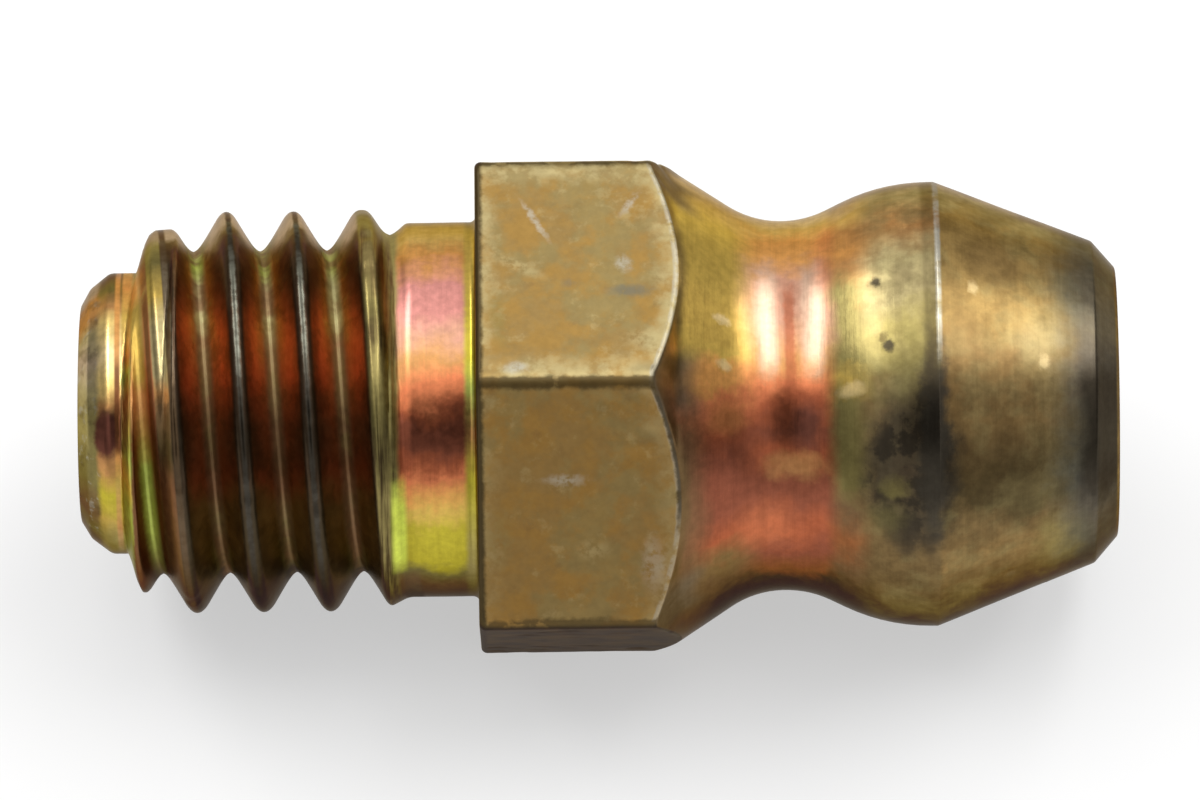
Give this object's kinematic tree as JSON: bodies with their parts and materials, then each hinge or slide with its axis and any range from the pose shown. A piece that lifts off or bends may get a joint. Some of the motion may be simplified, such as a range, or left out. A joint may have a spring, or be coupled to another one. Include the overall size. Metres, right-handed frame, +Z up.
{
  "type": "grease nipple",
  "caption": "Straight screw-in grease nipple with a hexagon, a waisted grease head and a sprung ball that closes its mouth.",
  "frame": {"origin": "where the thread's axis meets the seating face of the hexagon", "axes": "+X along the axis towards the grease head, -X the way the thread points, +Z up: the part lies on the hexagon flat that faces -Z"},
  "size_m": [0.0155, 0.008, 0.007],
  "materials": {
    "passivated_steel": "zinc plated and yellow passivated, satin",
    "ball_steel": "ground and polished",
    "spring_steel": "drawn wire"
  },
  "bodies": {
    "nipple": {"nipple_body": "passivated_steel", "ball_spring": "spring_steel"},
    "ball": {"check_ball": "ball_steel"}
  },
  "joints": [
    {"name": "ball_slide", "type": "slide", "parent": "nipple", "child": "ball", "axis": [-1, 0, 0], "range_m": [0, 0.0008], "stiffness_N_per_m": 150, "springref_m": -0.002, "deforming": ["ball_spring"]}
  ]
}
